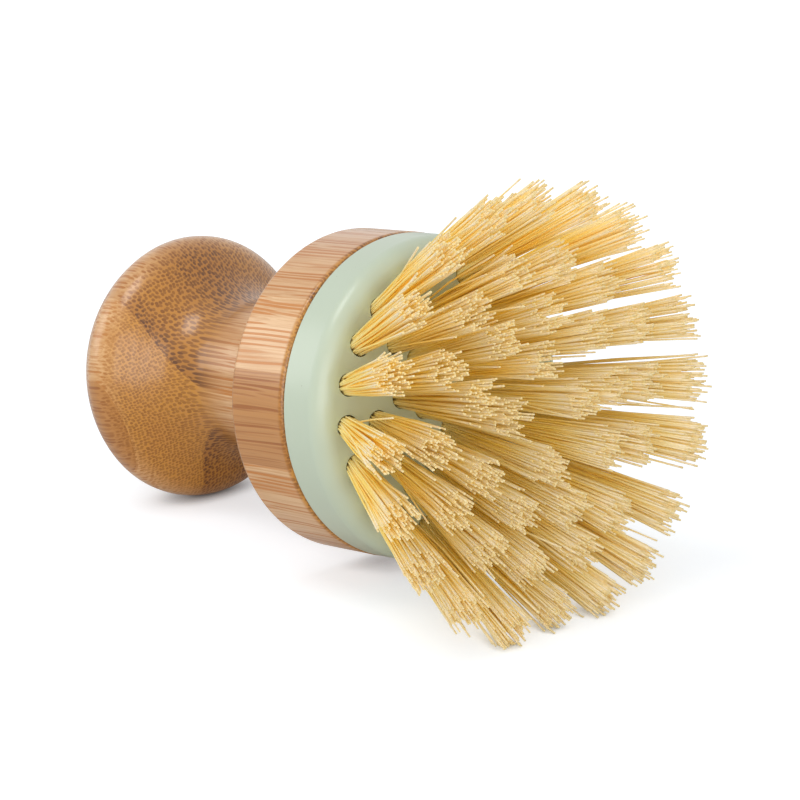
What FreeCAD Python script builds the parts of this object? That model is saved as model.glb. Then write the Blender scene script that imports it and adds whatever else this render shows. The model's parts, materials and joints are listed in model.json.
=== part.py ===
import FreeCAD, Part
import math
import os
from FreeCAD import Placement, Rotation, Vector

# Dish brush: a turned bamboo handle with a round knob, and a moulded head of tufts that screws into it.
# Every piece is drawn with the brush axis along X: the collar's back face at x = 0, bristles towards +X.
# The whole brush is then laid on the ground plane, resting on its knob and on its three lowest tufts.

# Handle
knob_radius = 23.4
knob_back_depth = 12.4
knob_front_depth = 10.5
knob_distance = 42.5
shoulder_slope = 60.0
neck_radius = 12.4
neck_flare_radius = 8.0
collar_radius = 27.0
collar_length = 13.2
collar_back_round = 1.0
collar_front_round = 0.9
oval_points = 9

# Screw thread between handle and head
post_radius = 7.0
post_length = 11.5
post_tip_chamfer = 0.8
thread_height = 1.2
thread_pitch = 4.0
thread_gap = 0.3
thread_base_share = 0.55
thread_crest_share = 0.30
thread_root_sink = 0.4
thread_tip_margin = 1.6
post_thread_turns = 2.0
socket_thread_turns = 1.5

# Threaded socket, glued into the handle
socket_wall = 2.0
socket_floor = 1.5
socket_tip_gap = 1.0
socket_flange_width = 2.5
socket_flange_thickness = 1.5
glue_gap = 0.05

# Sealing ring, between the collar and the head
seal_thickness = 0.2
seal_width = 8.0
seal_recess = 0.8
seat_gap = 0.05

# Head
head_setback = 0.1
head_thickness = 8.9
head_front_round = 3.0
head_back_chamfer = 0.2
cut_overrun = 5.0

# Tufts: fibres doubled over a flat staple and driven into a blind hole, each tuft cut off square
hole_radius = 1.85
hole_depth = 6.0
tuft_clearance = 0.1
tuft_tip_radius = 2.9
tuft_reach = 24.0

# Lean: the tufts point away from a focus behind the face, and a little round the axis
lean_focus = 40.0
lean_swirl = -6.5

# Parting: the tufts above a slanted line across the face are pushed up from it, and those below it down
parting_drop = 3.3
parting_turn = -25.0
parting_push = 1.0
parting_reach = 30.0

# Staples, which bite into the walls of the holes and lie along the rings
staple_bite = 0.3
staple_height = 1.4
staple_thickness = 0.4
staple_gap = 0.05

# Rings of tufts: their counts, shares of the head's radius and angles of their first tufts from the +Y side
outer_tuft_count = 20
second_tuft_count = 14
third_tuft_count = 9
centre_tuft_count = 4
outer_ring_share = 0.788
second_ring_share = 0.55
third_ring_share = 0.36
centre_ring_share = 0.182
outer_first_angle = 0.0
second_first_angle = 2.0
third_first_angle = 6.0
centre_first_angle = 3.0
outer_name = "outer_tuft"
tuft_rings = (
    (outer_name, outer_tuft_count, outer_ring_share, outer_first_angle),
    ("second_ring_tuft", second_tuft_count, second_ring_share, second_first_angle),
    ("third_ring_tuft", third_tuft_count, third_ring_share, third_first_angle),
    ("centre_tuft", centre_tuft_count, centre_ring_share, centre_first_angle),
)

# The brush's weight bends its lowest tufts up, until the one before the lowest touches the ground as well
outer_tuft_step = 360 / outer_tuft_count
lowest_number = round((270 - outer_first_angle) / outer_tuft_step)
resting_tuft = f"{outer_name}_{lowest_number:02d}"
level_tolerance = 0.0001

# Places along the brush axis, and radii about it
head_radius = collar_radius - head_setback
staple_width = 2 * hole_radius + 2 * staple_bite
seam = seal_thickness + 2 * seat_gap
head_back = collar_length + seam
head_face = head_back + head_thickness
tip_plane = head_face + tuft_reach
post_tip = head_back - post_length
thread_outer_radius = post_radius + thread_height
socket_bore = thread_outer_radius + thread_gap
socket_radius = socket_bore + socket_wall
socket_flange_radius = socket_radius + socket_flange_width
socket_inside_floor = post_tip - socket_tip_gap
socket_back = socket_inside_floor - socket_floor

AXIS = Vector(1, 0, 0)
ORIGIN = Vector(0, 0, 0)


def point(x, radius):
    """A point of a turned outline: a place along the axis and a distance from it."""
    return Vector(x, 0, radius)


def line(start, end):
    return Part.LineSegment(start, end).toShape()


def polyline(points):
    return [line(a, b) for a, b in zip(points, points[1:])]


def arc(centre, radius, start_angle, end_angle):
    """A circular arc of a turned outline; angles are measured from +X towards the radius."""
    angles = (start_angle, (start_angle + end_angle) / 2, end_angle)
    places = [centre + point(radius * math.cos(a), radius * math.sin(a)) for a in angles]
    return Part.Arc(*places).toShape()


def oval(centre_x, depth, radius, start_angle, end_angle):
    """A stretch of an ellipse about a point of the axis, as a smooth curve through points on it."""
    step = (end_angle - start_angle) / (oval_points - 1)
    angles = [start_angle + i * step for i in range(oval_points)]
    places = [point(centre_x + depth * math.cos(a), radius * math.sin(a)) for a in angles]
    ends = [point(-depth * math.sin(a), radius * math.cos(a)) for a in (start_angle, end_angle)]
    towards = math.copysign(1, end_angle - start_angle)
    curve = Part.BSplineCurve()
    curve.interpolate(Points=places, InitialTangent=ends[0] * towards, FinalTangent=ends[1] * towards)
    return curve.toShape()


def turned(edges):
    """The solid that a closed outline sweeps in one turn about the brush axis."""
    outline = Part.Wire(Part.__sortEdges__(edges))
    solid = Part.Face(outline).revolve(ORIGIN, AXIS, 360)
    return solid.Solids[0] if solid.Solids else Part.Solid(solid)


def thread_ridge(root_radius, crest_radius, start_x, turns):
    """A right-handed ridge of trapezoid section along a helix about the brush axis."""
    base = thread_pitch * thread_base_share / 2
    crest = thread_pitch * thread_crest_share / 2
    height = abs(root_radius - crest_radius)
    sunk_base = base + (base - crest) * thread_root_sink / height
    sunk_radius = root_radius + math.copysign(thread_root_sink, root_radius - crest_radius)
    corners = [Vector(sunk_radius, 0, -sunk_base), Vector(crest_radius, 0, -crest),
               Vector(crest_radius, 0, crest), Vector(sunk_radius, 0, sunk_base)]
    section = Part.makePolygon(corners + corners[:1])
    path = Part.Wire(Part.makeHelix(thread_pitch, thread_pitch * turns, root_radius))
    ridge = path.makePipeShell([section], True, True)
    ridge.Placement = Placement(Vector(start_x, 0, 0), Rotation(Vector(0, 0, 1), AXIS))
    return ridge


def handle():
    """Knob, neck and collar, turned from one blank, with a stepped bore for the socket."""
    slope = math.radians(shoulder_slope)
    shoulder_angle = math.atan2(knob_radius, knob_front_depth * math.tan(slope))
    shoulder_x = -knob_distance + knob_front_depth * math.cos(shoulder_angle)
    shoulder_r = knob_radius * math.sin(shoulder_angle)
    hollow = (shoulder_r - neck_radius) / (1 - math.cos(slope))
    neck_x = shoulder_x + hollow * math.sin(slope)
    flare_x = -neck_flare_radius
    quarter = math.pi / 2
    knob = [oval(-knob_distance, knob_back_depth, knob_radius, math.pi, quarter),
            oval(-knob_distance, knob_front_depth, knob_radius, quarter, shoulder_angle)]
    neck = [arc(point(neck_x, neck_radius + hollow), hollow, -quarter - slope, -quarter),
            line(point(neck_x, neck_radius), point(flare_x, neck_radius)),
            arc(point(flare_x, neck_radius + neck_flare_radius), neck_flare_radius, -quarter, 0)]
    rim = collar_radius - collar_back_round
    flange_seat = collar_length - socket_flange_thickness - glue_gap
    bore_end = socket_back - glue_gap
    collar = [line(point(0, neck_radius + neck_flare_radius), point(0, rim)),
              arc(point(collar_back_round, rim), collar_back_round, math.pi, quarter)]
    front_x = collar_length - collar_front_round
    front_rim = collar_radius - collar_front_round
    collar += [line(point(collar_back_round, collar_radius), point(front_x, collar_radius)),
               arc(point(front_x, front_rim), collar_front_round, quarter, 0)]
    collar += polyline([
        point(collar_length, front_rim),
        point(collar_length, socket_flange_radius + glue_gap),
        point(flange_seat, socket_flange_radius + glue_gap),
        point(flange_seat, socket_radius + glue_gap),
        point(bore_end, socket_radius + glue_gap),
        point(bore_end, 0),
        point(-knob_distance - knob_back_depth, 0)])
    return turned(knob + neck + collar)


def thread_socket():
    """A flanged cup with the female thread, flush with the collar's front face."""
    flange_back = collar_length - socket_flange_thickness
    cup = turned(polyline([
        point(socket_back, 0),
        point(socket_back, socket_radius),
        point(flange_back, socket_radius),
        point(flange_back, socket_flange_radius),
        point(collar_length, socket_flange_radius),
        point(collar_length, socket_bore),
        point(socket_inside_floor, socket_bore),
        point(socket_inside_floor, 0),
        point(socket_back, 0)]))
    start_x = post_tip + thread_tip_margin + thread_pitch / 2
    ridge = thread_ridge(socket_bore, post_radius + thread_gap, start_x, socket_thread_turns)
    return cup.fuse(ridge).Solids[0]


def sealing_ring():
    """A flat washer in the seam, set back from the rim."""
    outer = collar_radius - seal_recess
    back = collar_length + seat_gap
    front = back + seal_thickness
    return turned(polyline([
        point(back, outer - seal_width), point(back, outer), point(front, outer),
        point(front, outer - seal_width), point(back, outer - seal_width)]))


def tuft_leans():
    """Root of every tuft on the face, and its run from there to its cut end, before it meets the ground."""
    turn = math.radians(parting_turn)
    swirl = math.radians(lean_swirl)
    leans = {}
    for name, count, share, first_angle in tuft_rings:
        radius = head_radius * share
        lean = radius * tuft_reach / lean_focus
        for number in range(count):
            angle = math.radians(first_angle + 360 * number / count)
            y = radius * math.cos(angle)
            z = radius * math.sin(angle)
            above = z * math.cos(turn) - y * math.sin(turn) + parting_drop
            push = math.copysign(parting_push * max(0, 1 - abs(above) / parting_reach), above)
            sideways = lean * math.cos(angle + swirl) - push * math.sin(turn)
            upwards = lean * math.sin(angle + swirl) + push * math.cos(turn)
            leans[f"{name}_{number + 1:02d}"] = (Vector(head_face, y, z), Vector(tuft_reach, sideways, upwards))
    return leans


def tuft_places():
    """Node name and placement of every tuft: root on the face, X along the fibres, Y along the ring."""
    leans = tuft_leans()
    resting_root, resting_run = leans[resting_tuft]
    ground = resting_root.z + resting_run.z
    places = {}
    for node, (root, run) in leans.items():
        run.z = max(run.z, ground - root.z)
        around = Vector(0, -root.z, root.y)
        places[node] = Placement(root, Rotation(run, around, run.cross(around), "XYZ"))
    return places


def staple_block(gap):
    """The space of one staple at the bottom of its hole, grown by a gap on every side but the bottom."""
    corner = Vector(-hole_depth, -staple_width / 2 - gap, -staple_thickness / 2 - gap)
    return Part.makeBox(staple_height + gap, staple_width + 2 * gap, staple_thickness + 2 * gap, corner)


def placed(shape, placement):
    copy = shape.copy()
    copy.Placement = placement.multiply(copy.Placement)
    return copy


def brush_head(places):
    """A round moulded block with a threaded post behind it and a slotted blind hole for every tuft."""
    round_x = head_face - head_front_round
    round_r = head_radius - head_front_round
    outline = polyline([
        point(head_face, round_r),
        point(head_face, 0),
        point(post_tip, 0),
        point(post_tip, post_radius - post_tip_chamfer),
        point(post_tip + post_tip_chamfer, post_radius),
        point(head_back, post_radius),
        point(head_back, head_radius - head_back_chamfer),
        point(head_back + head_back_chamfer, head_radius),
        point(round_x, head_radius)])
    block = turned(outline + [arc(point(round_x, round_r), head_front_round, math.pi / 2, 0)])
    ridge = thread_ridge(post_radius, thread_outer_radius, post_tip + thread_tip_margin, post_thread_turns)
    hole = Part.makeCylinder(hole_radius, hole_depth + cut_overrun, Vector(-hole_depth, 0, 0), AXIS)
    pocket = hole.fuse(staple_block(staple_gap))
    return block.fuse(ridge).cut([placed(pocket, place) for place in places.values()]).Solids[0]


def tuft(place):
    """One bundle of fibres: straight in its hole, straddling its staple, flared outside it and cut off square."""
    root_radius = hole_radius - tuft_clearance
    length = tuft_reach / place.Rotation.multVec(AXIS).x
    bundle = turned(polyline([
        point(tuft_clearance - hole_depth, 0),
        point(tuft_clearance - hole_depth, root_radius),
        point(hole_radius, root_radius),
        point(length, tuft_tip_radius),
        point(length, 0),
        point(tuft_clearance - hole_depth, 0)]))
    return placed(bundle.cut(staple_block(tuft_clearance)).Solids[0], place)


def staples(places):
    return Part.makeCompound([placed(staple_block(0), place) for place in places.values()])


def lowest(shape, tilt):
    """Height of a shape's lowest point once the bristle end is raised by a tilt."""
    turned_up = placed(shape, Placement(ORIGIN, Rotation(Vector(0, -1, 0), tilt)))
    return turned_up.optimalBoundingBox().ZMin


def resting_placement(pieces):
    """Lays the brush on the ground, knob and lowest tufts touching it, centred over the origin."""
    outer_ring = Part.makeCompound([shape for name, shape in pieces.items() if name.startswith(outer_name)])
    span = tip_plane + knob_distance
    tilt = 0.0
    drop = span
    while abs(drop) > level_tolerance:
        drop = lowest(pieces["handle"], tilt) - lowest(outer_ring, tilt)
        tilt += math.degrees(math.atan2(drop, span))
    raised = Placement(ORIGIN, Rotation(Vector(0, -1, 0), tilt))
    box = placed(Part.makeCompound(list(pieces.values())), raised).optimalBoundingBox()
    shift = Vector(-(box.XMin + box.XMax) / 2, 0, -box.ZMin)
    print("tilt", tilt, "shift", tuple(shift), "axis", tuple(raised.Rotation.multVec(AXIS)))
    return Placement(shift, raised.Rotation)


def build():
    places = tuft_places()
    pieces = {
        "handle": handle(),
        "thread_socket": thread_socket(),
        "sealing_ring": sealing_ring(),
        "brush_head": brush_head(places),
        "anchor_staples": staples(places),
    }
    for name, place in places.items():
        pieces[name] = tuft(place)
    rest = resting_placement(pieces)
    os.makedirs("parts", exist_ok=True)
    for name, shape in pieces.items():
        placed(shape, rest).exportStep(f"parts/{name}.step")


build()
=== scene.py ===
import json
import math

import bpy
import numpy as np
from mathutils import Matrix, Vector


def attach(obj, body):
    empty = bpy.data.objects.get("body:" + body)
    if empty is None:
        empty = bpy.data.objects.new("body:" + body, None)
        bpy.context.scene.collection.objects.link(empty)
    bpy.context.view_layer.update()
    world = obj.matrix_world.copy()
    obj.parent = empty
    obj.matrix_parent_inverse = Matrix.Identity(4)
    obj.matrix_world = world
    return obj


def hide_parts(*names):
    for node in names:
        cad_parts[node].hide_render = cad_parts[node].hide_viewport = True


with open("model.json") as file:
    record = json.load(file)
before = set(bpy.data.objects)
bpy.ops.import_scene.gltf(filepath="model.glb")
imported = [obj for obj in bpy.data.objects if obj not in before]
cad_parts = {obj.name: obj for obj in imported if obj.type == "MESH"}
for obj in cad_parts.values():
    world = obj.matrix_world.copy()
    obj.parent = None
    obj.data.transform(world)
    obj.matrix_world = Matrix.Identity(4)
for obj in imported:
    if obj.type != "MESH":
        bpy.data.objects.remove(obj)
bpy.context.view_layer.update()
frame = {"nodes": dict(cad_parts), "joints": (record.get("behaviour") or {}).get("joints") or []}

# Handle: knob, neck and collar, turned in one piece from a blank of glued bamboo boards with the fibres along
# the brush axis, then sanded and given a thin satin varnish. Cut across, the fibre bundles show as brown
# dots; cut along, on the neck and the collar, they show as streaks.

screw = next(joint for joint in frame["joints"] if joint["name"] == "head_unscrew")
axis = Vector(screw["axis"]).normalized()
foot = Vector(screw["pos_m"])
sideways = Vector((0, 1, 0))
upwards = axis.cross(sideways)
brush_axes = Matrix((axis, sideways, upwards))
millimetres = 1000.0

# Growth: the fibres run along the axis and wander a little, so the pattern is read from wandering places
board_lean = math.radians(18.7)
wander_scale = (0.03, 0.13, 0.13)
wander_reach = (0.0, 1.6, 2.4)


def finish_for(name):
    """A new material with only its shader: the material, its node tree and the shader."""
    material = bpy.data.materials.new(name)
    material.use_nodes = True
    return material, material.node_tree, material.node_tree.nodes["Principled BSDF"]


def add(tree, kind, sockets, **settings):
    """One shader node with its settings; each socket, by name or number, takes a value or a node's output."""
    made = tree.nodes.new("ShaderNode" + kind)
    for name, value in settings.items():
        setattr(made, name, value)
    for socket, value in sockets.items():
        if isinstance(value, bpy.types.NodeSocket):
            tree.links.new(value, made.inputs[socket])
        else:
            made.inputs[socket].default_value = value
    return made


def vector_work(tree, operation, *values):
    """The output of one Vector Math node on up to three vectors."""
    return add(tree, "VectorMath", dict(enumerate(values)), operation=operation).outputs[0]


def brush_places(tree, turn=0.0):
    """Object coordinates as millimetres along the brush axis and across it, turned by an angle about it."""
    turned = Matrix.Rotation(-turn, 3, "X") @ brush_axes
    place = add(tree, "TexCoord", {}).outputs["Object"]
    return add(tree, "Mapping", {"Vector": place, "Rotation": turned.to_euler("XYZ"),
                                 "Location": -(turned @ foot) * millimetres,
                                 "Scale": (millimetres, millimetres, millimetres)}).outputs[0]


def noise(tree, places, scale, detail, output="Fac", **sockets):
    """A noise of a scale, in features to a millimetre, and a number of finer layers."""
    made = add(tree, "TexNoise", {"Vector": places, "Scale": scale, "Detail": detail, **sockets})
    return made.outputs[output]


bamboo, tree, varnish = finish_for("bamboo")
straight = brush_places(tree, board_lean)
slow = vector_work(tree, "MULTIPLY", straight, wander_scale)
wander = noise(tree, slow, scale=1.0, detail=1.0, output="Color")
wander = vector_work(tree, "SUBTRACT", wander, (0.5, 0.5, 0.5))
grown = vector_work(tree, "MULTIPLY_ADD", wander, wander_reach, straight)
along_handle, grown_across, grown_round = add(tree, "SeparateXYZ", {0: grown}).outputs
across_boards, along_boards = add(tree, "SeparateXYZ", {0: straight}).outputs[1:]

# Boards: which board a point is in, its tone, and how coarse its bundles are, which is most beside the
# board's skin. The outermost board shows on the collar alone, in two strips.
blank_width = 54.0
collar_from = -8.0
outer_board = 0.098
past_outer_board = 0.1
strip_edge = 1.5
strip_tone = 0.1
strip_number = 0.07


def work(tree, operation, *values, clamp=False):
    """The output of one Math node on up to three values."""
    made = add(tree, "Math", dict(enumerate(values)), operation=operation, use_clamp=clamp)
    return made.outputs[0]


def grey(value):
    """A colour with equal parts of red, green and blue."""
    return (value, value, value, 1.0)


def ramp(tree, share, stops, interpolation="LINEAR"):
    """A Color Ramp node through stops of a place and a colour."""
    made = add(tree, "ValToRGB", {0: share})
    made.color_ramp.interpolation = interpolation
    while len(made.color_ramp.elements) < len(stops):
        made.color_ramp.elements.new(0.5)
    for element, (place, colour) in zip(made.color_ramp.elements, stops):
        element.position = place
        element.color = colour
    return made.outputs["Color"]


def levels(tree, share, stops, interpolation="LINEAR"):
    """A value that goes through stops of a place and a level."""
    return ramp(tree, share, [(place, grey(level)) for place, level in stops], interpolation)


def between(tree, share, first, second):
    """Two values mixed by a share."""
    return add(tree, "Mix", {0: share, 2: first, 3: second}).outputs[0]


board_share = work(tree, "MULTIPLY_ADD", across_boards, 1 / blank_width, 0.5)
off_collar = work(tree, "LESS_THAN", along_handle, collar_from)
board_share = work(tree, "MAXIMUM", board_share, work(tree, "MULTIPLY", off_collar, past_outer_board))
board_number = levels(tree, board_share, (
    (0.0, 0.05), (outer_board, 0.20), (0.284, 0.35), (0.50, 0.55), (0.70, 0.75), (0.87, 0.95)), "CONSTANT")
board_tone = levels(tree, board_share, (
    (0.0, 0.75), (outer_board, 0.05), (0.284, 0.25), (0.50, 0.35), (0.70, 0.15), (0.87, 0.4)), "CONSTANT")
coarse = levels(tree, board_share, (
    (0.0, 0.5), (0.097, 0.2), (0.0985, 0.25), (0.18, 0.05), (0.2835, 0.0), (0.2845, 1.0), (0.36, 0.85),
    (0.44, 0.7), (0.499, 0.7), (0.501, 0.95), (0.60, 0.9), (0.699, 0.5), (0.701, 0.9), (0.85, 0.4)))
skin_side = levels(tree, board_share, (
    (0.0, 0.3), (0.18, 0.05), (0.2835, 0.0), (0.2845, 1.0), (0.315, 0.7), (0.345, 0.25), (0.42, 0.2),
    (0.50, 0.6), (0.56, 0.95), (0.66, 0.8), (0.70, 0.5), (0.80, 0.1)))
lower_strip = work(tree, "MULTIPLY", work(tree, "LESS_THAN", board_share, outer_board),
                   work(tree, "LESS_THAN", along_boards, strip_edge))
board_tone = between(tree, lower_strip, board_tone, strip_tone)
board_number = work(tree, "MULTIPLY_ADD", lower_strip, strip_number, board_number)
board_chance = add(tree, "TexWhiteNoise", {"W": board_number}, noise_dimensions="1D").outputs["Color"]

# Fine fibres between the bundles, and slow clouds of a darker tone
fibre_scale = (0.03, 4.2, 4.2)
cloud_scale = (0.03, 0.2, 0.2)
fibres = noise(tree, vector_work(tree, "MULTIPLY", grown, fibre_scale), scale=1.0, detail=3.0, Roughness=0.65)
cloud = noise(tree, vector_work(tree, "MULTIPLY", grown, cloud_scale), scale=1.0, detail=2.0)

# Bundles: cells across the section, carried along the axis, fine and coarse, and other ones in each board
fine_size = 0.50
fine_scatter = 0.55
coarse_size = 0.66
coarse_scatter = 0.60
coarse_band = (0.32, 0.48)
board_shift = (60.0, 60.0, 0.0)


def fade(tree, value, start, stop, low=0.0, high=1.0):
    """A smooth change from low to high as a value goes from start to stop."""
    made = add(tree, "MapRange", {0: value, 1: start, 2: stop, 3: low, 4: high},
               interpolation_type="SMOOTHSTEP")
    return made.outputs[0]


def bundles(tree, section, size, scatter):
    """Cells of a size across the section, one for each fibre bundle: how far a point is from the middle of
    its cell, in cells, and the cell's own chance."""
    cells = add(tree, "TexVoronoi", {"Vector": section, "Scale": 1 / size, "Randomness": scatter},
                voronoi_dimensions="2D").outputs
    return cells["Distance"], add(tree, "SeparateColor", {0: cells["Color"]}).outputs[0]


section = add(tree, "CombineXYZ", {0: grown_across, 1: grown_round}).outputs[0]
section = vector_work(tree, "MULTIPLY_ADD", board_chance, board_shift, section)
fine_middle, fine_chance = bundles(tree, section, fine_size, fine_scatter)
coarse_middle, coarse_chance = bundles(tree, section, coarse_size, coarse_scatter)
coarse_share = fade(tree, coarse, *coarse_band)
cell_middle = between(tree, coarse_share, fine_middle, coarse_middle)
cell_chance = between(tree, coarse_share, fine_chance, coarse_chance)

# Where the surface cuts across the fibres, every bundle shows as a dot; where it runs along them, only some
# do, as streaks. The stops follow the turned outline from the end of the knob to the front of the collar. An
# edge or a chance below gives where its fade starts and stops, and then its low and high.
knob_end = -56.0
handle_length = 70.0
dot_edge = (0.50, 0.32)
streak_edge = (0.42, 0.26)
streak_chance = (0.52, 1.0, 0.10, 1.0)
hair_edge = (0.34, 0.20)
hair_chance = (0.3, 0.9, 0.0, 0.6)
along_share = work(tree, "MULTIPLY_ADD", along_handle, 1 / handle_length, -knob_end / handle_length)
end_grain = levels(tree, along_share, (
    (0.00, 1.0), (0.08, 0.7), (0.15, 0.15), (0.215, 0.30), (0.26, 1.0), (0.41, 1.0), (0.47, 0.4),
    (0.52, 0.05), (0.70, 0.05), (0.76, 0.5), (0.795, 0.6), (0.815, 0.0), (0.972, 0.0), (0.984, 1.0)))
dot_depth = work(tree, "MULTIPLY_ADD", cell_chance, 0.35, 0.62)
dot = work(tree, "MULTIPLY", fade(tree, cell_middle, *dot_edge), dot_depth)
dot = work(tree, "MULTIPLY", dot, work(tree, "MULTIPLY_ADD", coarse, 0.25, 0.75))
streak_depth = fade(tree, work(tree, "MULTIPLY_ADD", cloud, 0.8, coarse_chance), *streak_chance)
streak = work(tree, "MULTIPLY", fade(tree, coarse_middle, *streak_edge), streak_depth)
hair_depth = fade(tree, fine_chance, *hair_chance)
hair = work(tree, "MULTIPLY", fade(tree, fine_middle, *hair_edge), hair_depth)
bundle = between(tree, end_grain, work(tree, "MAXIMUM", streak, hair), dot)

# Colours: the ground, then the darker boards, clouds, fibres and skin over it, and the brown of the bundles


def linear(red, green, blue):
    """A colour that is written as it looks on a screen, as the light that Blender works with."""
    screen = np.array((red, green, blue))
    return (*np.where(screen <= 0.04045, screen / 12.92, ((screen + 0.055) / 1.055) ** 2.4), 1.0)


def blend(tree, share, first, second):
    """Two colours mixed by a share."""
    return add(tree, "Mix", {0: share, 6: first, 7: second}, data_type="RGBA").outputs[2]


straw = linear(0.89, 0.735, 0.55)
gold = linear(0.79, 0.55, 0.19)
dark_board = linear(0.67, 0.42, 0.10)
cloud_tan = linear(0.74, 0.50, 0.20)
fibre_tan = linear(0.74, 0.51, 0.27)
skin_amber = linear(0.60, 0.365, 0.09)
dot_brown = linear(0.54, 0.325, 0.06)
skin_dot_brown = linear(0.35, 0.19, 0.03)
streak_tan = linear(0.77, 0.49, 0.19)
dark_streak = linear(0.54, 0.30, 0.08)
cloud_band = (0.45, 0.70, 0.0, 0.4)
fibre_band = (0.44, 0.60, 0.0, 0.5)
skin_share = work(tree, "MULTIPLY", skin_side, work(tree, "MULTIPLY_ADD", end_grain, 0.45, 0.1))
ground = blend(tree, end_grain, straw, gold)
ground = blend(tree, board_tone, ground, dark_board)
ground = blend(tree, fade(tree, cloud, *cloud_band), ground, cloud_tan)
ground = blend(tree, fade(tree, fibres, *fibre_band), ground, fibre_tan)
ground = blend(tree, skin_share, ground, skin_amber)
brown = blend(tree, end_grain, blend(tree, board_tone, streak_tan, dark_streak),
              blend(tree, skin_side, dot_brown, skin_dot_brown))
tree.links.new(blend(tree, bundle, ground, brown), varnish.inputs["Base Color"])


def roughen(tree, shader, pattern, spread, smoothest):
    """The roughness of a shader or a group: a pattern times a spread, added to the smoothest value."""
    tree.links.new(work(tree, "MULTIPLY_ADD", pattern, spread, smoothest), shader.inputs["Roughness"])


def emboss(tree, shader, height, strength, depth):
    """A shader's bump: a height times a depth in metres, at a strength."""
    bump = add(tree, "Bump", {"Height": height, "Strength": strength, "Distance": depth})
    tree.links.new(bump.outputs[0], shader.inputs["Normal"])


def dress(node, material):
    """Gives a CAD node one material."""
    materials = frame["nodes"][node].data.materials
    materials.clear()
    materials.append(material)


roughen(tree, varnish, bundle, spread=0.12, smoothest=0.32)
pores = work(tree, "MULTIPLY_ADD", fibres, 0.35, work(tree, "MULTIPLY", bundle, -1.0))
emboss(tree, varnish, pores, strength=0.4, depth=0.00006)
varnish.inputs["Specular IOR Level"].default_value = 0.35
varnish.inputs["Coat Weight"].default_value = 0.6
varnish.inputs["Coat Roughness"].default_value = 0.18
dress("handle", bamboo)

# Threaded socket: a flanged cup moulded in off-white plastic and glued into the collar's stepped bore. It
# shows only when the head is unscrewed.


def moulded_skin():
    """A group for moulded plastic: a slow drift of tone, a small speck of pigment in a few of many cells, and
    the faint grain of the mould, from which a speck takes its own depth."""
    drift_scale = 0.12
    drift_share = 0.6
    grain_scale = 3.5
    cell_scale = 0.45
    speck_edge = 14.0
    cells_without = 0.82
    speck_share = 0.7
    group = bpy.data.node_groups.new("moulded_skin", "ShaderNodeTree")
    for name, kind, way in (("Places", "Vector", "INPUT"), ("Pigment", "Color", "INPUT"),
                            ("Deep pigment", "Color", "INPUT"), ("Speck", "Color", "INPUT"),
                            ("Colour", "Color", "OUTPUT"), ("Roughness", "Float", "OUTPUT"),
                            ("Height", "Float", "OUTPUT")):
        group.interface.new_socket(name, in_out=way, socket_type="NodeSocket" + kind)
    given = group.nodes.new("NodeGroupInput").outputs
    result = group.nodes.new("NodeGroupOutput")
    drift = noise(group, given["Places"], drift_scale, detail=2.0)
    grain = noise(group, given["Places"], grain_scale, detail=2.0)
    cells = add(group, "TexVoronoi", {"Vector": given["Places"], "Scale": cell_scale}).outputs
    chance = add(group, "SeparateColor", {0: cells["Color"]}).outputs[0]
    small = work(group, "MULTIPLY_ADD", cells["Distance"], -speck_edge, 1.0, clamp=True)
    speck = work(group, "MULTIPLY", small, work(group, "GREATER_THAN", chance, cells_without))
    deep = work(group, "MULTIPLY", drift, drift_share)
    colour = blend(group, deep, given["Pigment"], given["Deep pigment"])
    colour = blend(group, work(group, "MULTIPLY", speck, speck_share), colour, given["Speck"])
    group.links.new(colour, result.inputs["Colour"])
    roughen(group, result, grain, spread=0.06, smoothest=0.26)
    group.links.new(work(group, "MULTIPLY_ADD", speck, -1.0, grain), result.inputs["Height"])
    return group


def moulded(name, group, pigment, deep_pigment, speck):
    """A moulded plastic's material in its own colours."""
    material, tree, plastic = finish_for(name)
    skin = add(tree, "Group", {}, node_tree=group)
    tree.links.new(brush_places(tree), skin.inputs["Places"])
    skin.inputs["Pigment"].default_value = linear(*pigment)
    skin.inputs["Deep pigment"].default_value = linear(*deep_pigment)
    skin.inputs["Speck"].default_value = linear(*speck)
    tree.links.new(skin.outputs["Colour"], plastic.inputs["Base Color"])
    tree.links.new(skin.outputs["Roughness"], plastic.inputs["Roughness"])
    emboss(tree, plastic, skin.outputs["Height"], strength=0.03, depth=0.00005)
    return material


skin_group = moulded_skin()
socket_plastic = moulded("socket_plastic", skin_group, pigment=(0.90, 0.89, 0.85),
                         deep_pigment=(0.86, 0.85, 0.80), speck=(0.55, 0.52, 0.45))
dress("thread_socket", socket_plastic)

# Sealing ring: a thin dark washer stamped from rubber sheet, laid in the seam between collar and head and
# held there by the screwed-up head.

soot = linear(0.13, 0.12, 0.11)
dust = linear(0.21, 0.20, 0.18)
seal_rubber, tree, rubber = finish_for("seal_rubber")
places = brush_places(tree)
calendered = noise(tree, places, scale=2.2, detail=3.0)
dusty = noise(tree, places, scale=0.3, detail=2.0)
tree.links.new(blend(tree, dusty, soot, dust), rubber.inputs["Base Color"])
roughen(tree, rubber, calendered, spread=0.2, smoothest=0.62)
emboss(tree, rubber, calendered, strength=0.2, depth=0.00004)
dress("sealing_ring", seal_rubber)

# Brush head: a round block moulded in pale mint plastic with a satin skin, its screw post behind it. The tuft
# holes are drilled into the rounded face, each along its own tuft.

mint_plastic = moulded("mint_plastic", skin_group, pigment=(0.745, 0.795, 0.72),
                       deep_pigment=(0.715, 0.765, 0.685), speck=(0.52, 0.54, 0.43))
dress("brush_head", mint_plastic)

# Anchor staples: short lengths of flat drawn wire. Each is driven into a hole with the doubled tuft under it
# and bites into the walls.

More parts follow.
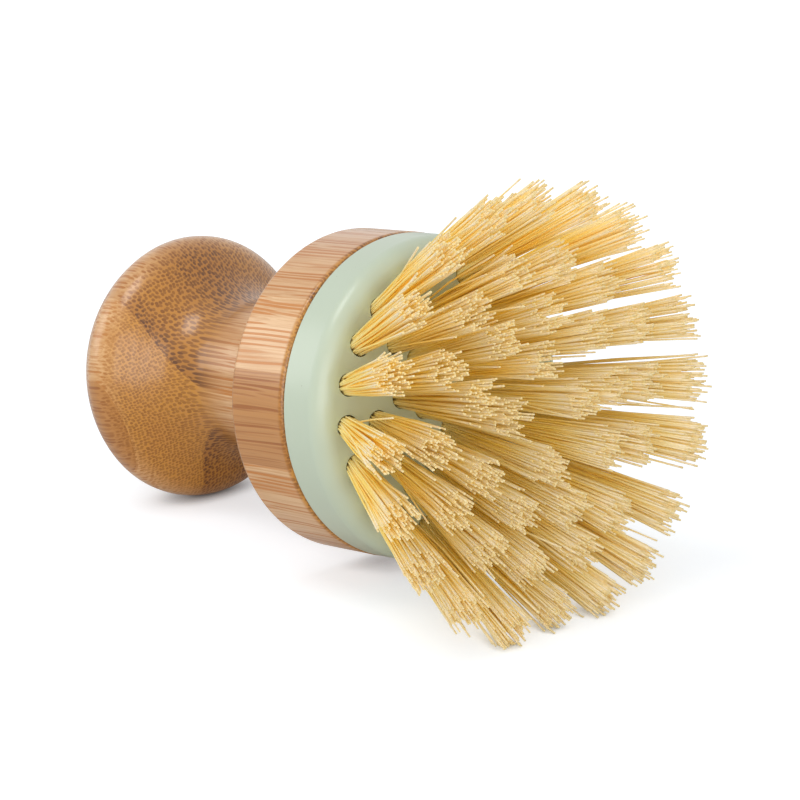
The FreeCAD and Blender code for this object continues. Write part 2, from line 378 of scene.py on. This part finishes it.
drawn_scale = (1.5, 6.0, 6.0)
dull_wire = linear(0.66, 0.66, 0.64)
bright_wire = linear(0.80, 0.79, 0.76)
staple_wire, tree, wire = finish_for("staple_wire")
drawn = noise(tree, vector_work(tree, "MULTIPLY", brush_places(tree), drawn_scale), scale=1.0, detail=3.0)
tree.links.new(blend(tree, drawn, dull_wire, bright_wire), wire.inputs["Base Color"])
roughen(tree, wire, drawn, spread=0.25, smoothest=0.25)
wire.inputs["Metallic"].default_value = 1.0
dress("anchor_staples", staple_wire)

# Tufts: each is about a hundred stiff cream fibres, doubled over its staple in a drilled hole. They spread as
# they leave it, most on the brush's far side, and are cut off square, so their ends are a little swollen and
# uneven. Their colour is painted deeper gold low down, as painted shade inside the tuft, and paler towards the
# lit ends, as painted light, with painted shade on the cut faces. Lamp light passes through such thin fibres
# to the ones behind. Sizes are in metres.

fibres_in_tuft = 96
fibre_sides = 6
fibre_radius = 0.000165
thinnest = 0.85
thickest = 1.12
cut_swell = 1.06
swollen_from = 0.9
root_spread = 0.00165
tip_spread = 0.0030
far_splay = 0.22
far_side = 0.021
uneven_pattern = 0.12
uneven_tufts = 0.0003
uneven_ends = 0.0011
longest_end = 0.0024
crossing = 0.0004
stray_share = 0.10
stray_crossing = 3.4
bow = 0.00012
floor_ease = 0.0006
golden_angle = math.pi * (3 - math.sqrt(5))
ring_shares = np.array((-0.1, 0.0, 0.5, 0.982, 1.0))
first_seed = 100


def vertices_of(node):
    """A CAD node's vertices as an array."""
    mesh = frame["nodes"][node].data
    places = np.empty(3 * len(mesh.vertices), np.float32)
    mesh.vertices.foreach_get("co", places)
    return places.reshape(-1, 3).astype(float)


def height_of(places):
    """Distance of points along the brush axis from the collar's back face."""
    return (places - np.array(foot)) @ np.array(axis)


def middle(places):
    """The middle of the box round a ring of points, which is the ring's centre."""
    return (places.min(0) + places.max(0)) / 2


def tuft_line(node, face):
    """Where a tuft's middle line crosses the face, and its way from there to the middle of its cut end. The
    line goes through the middles of the CAD solid's two end rings, its points furthest back and furthest out
    along the line, which are first sought along the brush axis."""
    back_depth = 0.002
    end_depth = 0.004
    ring_depths = (0.0010, 0.0003)
    places = vertices_of(node)
    height = height_of(places)
    back = middle(places[height < height.min() + back_depth])
    end = middle(places[height > height.max() - end_depth])
    for depth in ring_depths:
        far = (places - back) @ (end - back) / np.linalg.norm(end - back)
        back = middle(places[far < far.min() + depth])
        end = middle(places[far > far.max() - depth])
    root = back + (end - back) * (face - height_of(back)) / (height_of(end) - height_of(back))
    return root, end - root


def fibre_lines(root, way, chance):
    """Middle lines of one tuft's fibres. Each fibre has a place in a sunflower pattern square to the tuft,
    wider at the cut end than in the hole, and runs straight between the two; crossing shifts its end, and bow
    is a parabola. A point close to the floor is eased by an exponential, which stays above it by the fibre's
    radius."""
    count = fibres_in_tuft
    length = np.linalg.norm(way)
    onward = way / length
    across = np.cross(onward, np.array(upwards))
    across /= np.linalg.norm(across)
    over = np.cross(across, onward)
    number = np.arange(count)
    angle = number * golden_angle + chance.uniform(0, 2 * math.pi) + chance.normal(0, uneven_pattern, count)
    pattern = np.sqrt((number + 0.5) / count)[:, None] * np.stack((np.cos(angle), np.sin(angle)), 1)
    stray = np.where(chance.random(count) < stray_share, stray_crossing, 1.0)[:, None]
    rooted = pattern * root_spread
    splay = 1 + far_splay * np.clip(root[1] / far_side, 0, 1)
    ended = pattern * tip_spread * splay + chance.normal(0, crossing, (count, 2)) * stray
    arch = chance.normal(0, bow, (count, 2)) * stray
    longer = chance.normal(0, uneven_tufts)
    longer = longer + np.clip(chance.normal(0, uneven_ends, count), -longest_end, longest_end)
    share = np.clip(ring_shares, 0, None)[:, None]
    aside = rooted[:, None] + (ended - rooted)[:, None] * share + arch[:, None] * 4 * share * (1 - share)
    along = (length + longer)[:, None] * ring_shares
    lines = root + along[..., None] * onward + aside[..., :1] * across + aside[..., 1:] * over
    low = lines[..., 2]
    ease = floor_ease - fibre_radius
    lines[..., 2] = np.where(low < floor_ease, fibre_radius + ease * np.exp((low - floor_ease) / ease), low)
    return lines, across, over


def fibre_mesh(name, lines, across, over, chance):
    """One mesh of round fibres: a hexagon carried along each middle line, square to the tuft, swollen a
    little where it was cut, with closed ends. Each point keeps its share of the fibre's length and the
    fibre's own tone."""
    count, rings = lines.shape[:2]
    turn = 2 * math.pi * np.arange(fibre_sides) / fibre_sides
    hexagon = np.cos(turn)[:, None] * across + np.sin(turn)[:, None] * over
    thickness = fibre_radius * chance.uniform(thinnest, thickest, count)[:, None]
    thickness = thickness * np.where(ring_shares > swollen_from, cut_swell, 1.0)
    points = lines[:, :, None] + thickness[:, :, None, None] * hexagon
    first = np.arange(count)[:, None, None] * rings * fibre_sides
    ring = np.arange(rings - 1)[None, :, None] * fibre_sides
    side = np.arange(fibre_sides)[None, None, :]
    corner = first + ring + side
    beside = first + ring + (side + 1) % fibre_sides
    walls = np.stack((corner, beside, beside + fibre_sides, corner + fibre_sides), -1).reshape(-1, 4)
    roots = (first[:, 0] + np.arange(fibre_sides)[::-1]).reshape(-1, fibre_sides)
    cuts = (first[:, 0] + (rings - 1) * fibre_sides + np.arange(fibre_sides)).reshape(-1, fibre_sides)
    mesh = bpy.data.meshes.new(name)
    mesh.from_pydata(points.reshape(-1, 3), [], walls.tolist() + roots.tolist() + cuts.tolist())
    smooth = np.zeros(len(mesh.polygons), bool)
    smooth[:len(walls)] = True
    mesh.polygons.foreach_set("use_smooth", smooth)
    along = np.broadcast_to(np.clip(ring_shares, 0, 1)[None, :, None], (count, rings, fibre_sides))
    tone = np.broadcast_to(chance.random(count)[:, None, None], (count, rings, fibre_sides))
    for attribute, values in (("fibre_along", along), ("fibre_tone", tone)):
        made = mesh.attributes.new(attribute, "FLOAT", "POINT")
        made.data.foreach_set("value", np.ascontiguousarray(values, np.float32).ravel())
    mesh.update()
    return mesh


stripe_scale = (0.35, 5.0, 5.0)
pale_share = 0.42
pale_cream = linear(0.985, 0.93, 0.76)
stripe_yellow = linear(0.97, 0.84, 0.45)
lit_through = linear(0.997, 0.948, 0.28)
bristle_fibre, tree, fibre = finish_for("bristle_fibre")
along_fibre = add(tree, "Attribute", {}, attribute_name="fibre_along").outputs["Fac"]
fibre_tone = add(tree, "Attribute", {}, attribute_name="fibre_tone").outputs["Fac"]
# Along each fibre: the deeper gold in the lower half is painted shade from inside the tuft, the paler stretch
# near the end is painted light, and the last stop is painted shade on the cut face.
cream_with_painted_light = ramp(tree, along_fibre, (
    (0.0, linear(0.985, 0.91, 0.62)), (0.35, linear(0.985, 0.862, 0.40)), (0.62, linear(0.985, 0.875, 0.47)),
    (0.85, linear(0.985, 0.92, 0.72)), (0.970, linear(0.98, 0.93, 0.83)), (0.985, linear(0.90, 0.82, 0.62))))
cream_with_painted_light = blend(tree, work(tree, "MULTIPLY", fibre_tone, pale_share), cream_with_painted_light, pale_cream)
stripe = noise(tree, vector_work(tree, "MULTIPLY", brush_places(tree), stripe_scale), scale=1.0, detail=2.0)
stripe_share = add(tree, "MapRange", {0: stripe, 1: 0.45, 2: 0.75, 3: 0.0, 4: 0.4}).outputs[0]
tree.links.new(blend(tree, stripe_share, cream_with_painted_light, stripe_yellow), fibre.inputs["Base Color"])
roughen(tree, fibre, stripe, spread=0.2, smoothest=0.32)
fibre.inputs["Specular IOR Level"].default_value = 0.2
clear = add(tree, "BsdfTransparent", {"Color": lit_through}).outputs[0]
lamp_ray = add(tree, "LightPath", {}).outputs["Is Shadow Ray"]
thin = add(tree, "MixShader", {0: lamp_ray, 1: fibre.outputs[0], 2: clear}).outputs[0]
tree.links.new(thin, tree.nodes["Material Output"].inputs["Surface"])

face_height = height_of(vertices_of("brush_head")).max()
for order, node in enumerate(sorted(name for name in frame["nodes"] if "tuft" in name)):
    chance = np.random.default_rng(first_seed + order)
    root, way = tuft_line(node, face_height)
    lines, across, over = fibre_lines(root, way, chance)
    mesh = fibre_mesh(node + "_fibres", lines, across, over, chance)
    mesh.materials.append(bristle_fibre)
    tuft = bpy.data.objects.new(node + "_fibres", mesh)
    bpy.context.scene.collection.objects.link(tuft)
    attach(tuft, "head")
    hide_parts(node)

# Studio: a plain white floor that runs out to a white background, four soft lamps, one above, one each side
# of the camera and a weak one at the left, and the camera at the photograph's place. The floor glows to the
# camera alone, less near the brush, and not where the brush covers it closely.

floor_half = 3.0
floor_lit = grey(0.72)
floor_seen = (0.61, 0.65, 0.69, 1.0)
glow_white = (0.97, 0.98, 1.0, 1.0)
glow_near = 0.57
glow_far = 0.76
near_reach = 0.08
far_reach = 0.35
contact_reach = 0.005
covered_band = (0.02, 0.6)
floor_mesh = bpy.data.meshes.new("floor")
floor_mesh.from_pydata([(-floor_half, -floor_half, 0), (floor_half, -floor_half, 0),
                        (floor_half, floor_half, 0), (-floor_half, floor_half, 0)], [], [(0, 1, 2, 3)])
floor = bpy.data.objects.new("floor", floor_mesh)
bpy.context.scene.collection.objects.link(floor)
floor_white, tree, paint = finish_for("floor_white")
paint.inputs["Roughness"].default_value = 0.9
paint.inputs["Specular IOR Level"].default_value = 0.1
paint.inputs["Emission Color"].default_value = glow_white
seen = add(tree, "LightPath", {}).outputs["Is Camera Ray"]
tree.links.new(blend(tree, seen, floor_lit, floor_seen), paint.inputs["Base Color"])
floor_place = add(tree, "TexCoord", {}).outputs["Object"]
outwards = add(tree, "VectorMath", {0: floor_place}, operation="LENGTH").outputs["Value"]
glow = work(tree, "MULTIPLY", seen, fade(tree, outwards, near_reach, far_reach, glow_near, glow_far))
# The glow is taken away where the brush covers the floor closely, which paints a dark contact shadow there.
open_floor = add(tree, "AmbientOcclusion", {"Distance": contact_reach}, samples=8).outputs["AO"]
glow = work(tree, "MULTIPLY", glow, fade(tree, open_floor, *covered_band))
tree.links.new(glow, paint.inputs["Emission Strength"])
floor_mesh.materials.append(floor_white)

background_light = 0.58
world = bpy.data.worlds.new("studio")
world.use_nodes = True
bpy.context.scene.world = world
paths = add(world.node_tree, "LightPath", {}).outputs
seen = work(world.node_tree, "MAXIMUM", paths["Is Camera Ray"], paths["Is Glossy Ray"])
seen = work(world.node_tree, "MAXIMUM", seen, paths["Is Transmission Ray"])
backdrop = world.node_tree.nodes["Background"]
backdrop.inputs["Color"].default_value = grey(1.0)
level = work(world.node_tree, "MULTIPLY_ADD", seen, 1 - background_light, background_light)
world.node_tree.links.new(level, backdrop.inputs["Strength"])


def soft_lamp(name, place, aim, size, power):
    """A square soft lamp at a place, turned towards a point."""
    lamp = bpy.data.lights.new(name, "AREA")
    lamp.size = size
    lamp.energy = power
    made = bpy.data.objects.new(name, lamp)
    made.location = place
    made.rotation_euler = (Vector(aim) - Vector(place)).to_track_quat("-Z", "Y").to_euler()
    bpy.context.scene.collection.objects.link(made)


brush_middle = (0.0, 0.0, 0.03)
soft_lamp("lamp_above_left", (-0.10, -0.36, 0.82), brush_middle, size=0.34, power=1.8)
soft_lamp("lamp_front", (0.80, -0.32, 0.20), brush_middle, size=0.45, power=1.6)
soft_lamp("lamp_low", (0.50, -0.62, 0.27), brush_middle, size=0.5, power=1.75)
soft_lamp("lamp_left", (-0.65, -0.50, 0.28), brush_middle, size=0.4, power=0.9)

view_azimuth = math.radians(47.645)
view_elevation = math.radians(17.139)
view_distance = 0.480
view_middle = Vector((0.007378, 0.005195, 0.026691))
towards_camera = Vector((math.sin(view_azimuth) * math.cos(view_elevation),
                         -math.cos(view_azimuth) * math.cos(view_elevation), math.sin(view_elevation)))
lens = bpy.data.cameras.new("camera")
lens.lens = 127.98
lens.sensor_width = 36.0
lens.clip_start = 0.01
lens.clip_end = 20.0
camera = bpy.data.objects.new("camera", lens)
camera.location = view_middle + towards_camera * view_distance
camera.rotation_euler = (-towards_camera).to_track_quat("-Z", "Y").to_euler()
bpy.context.scene.collection.objects.link(camera)
bpy.context.scene.camera = camera
bpy.context.scene.view_settings.view_transform = "Standard"
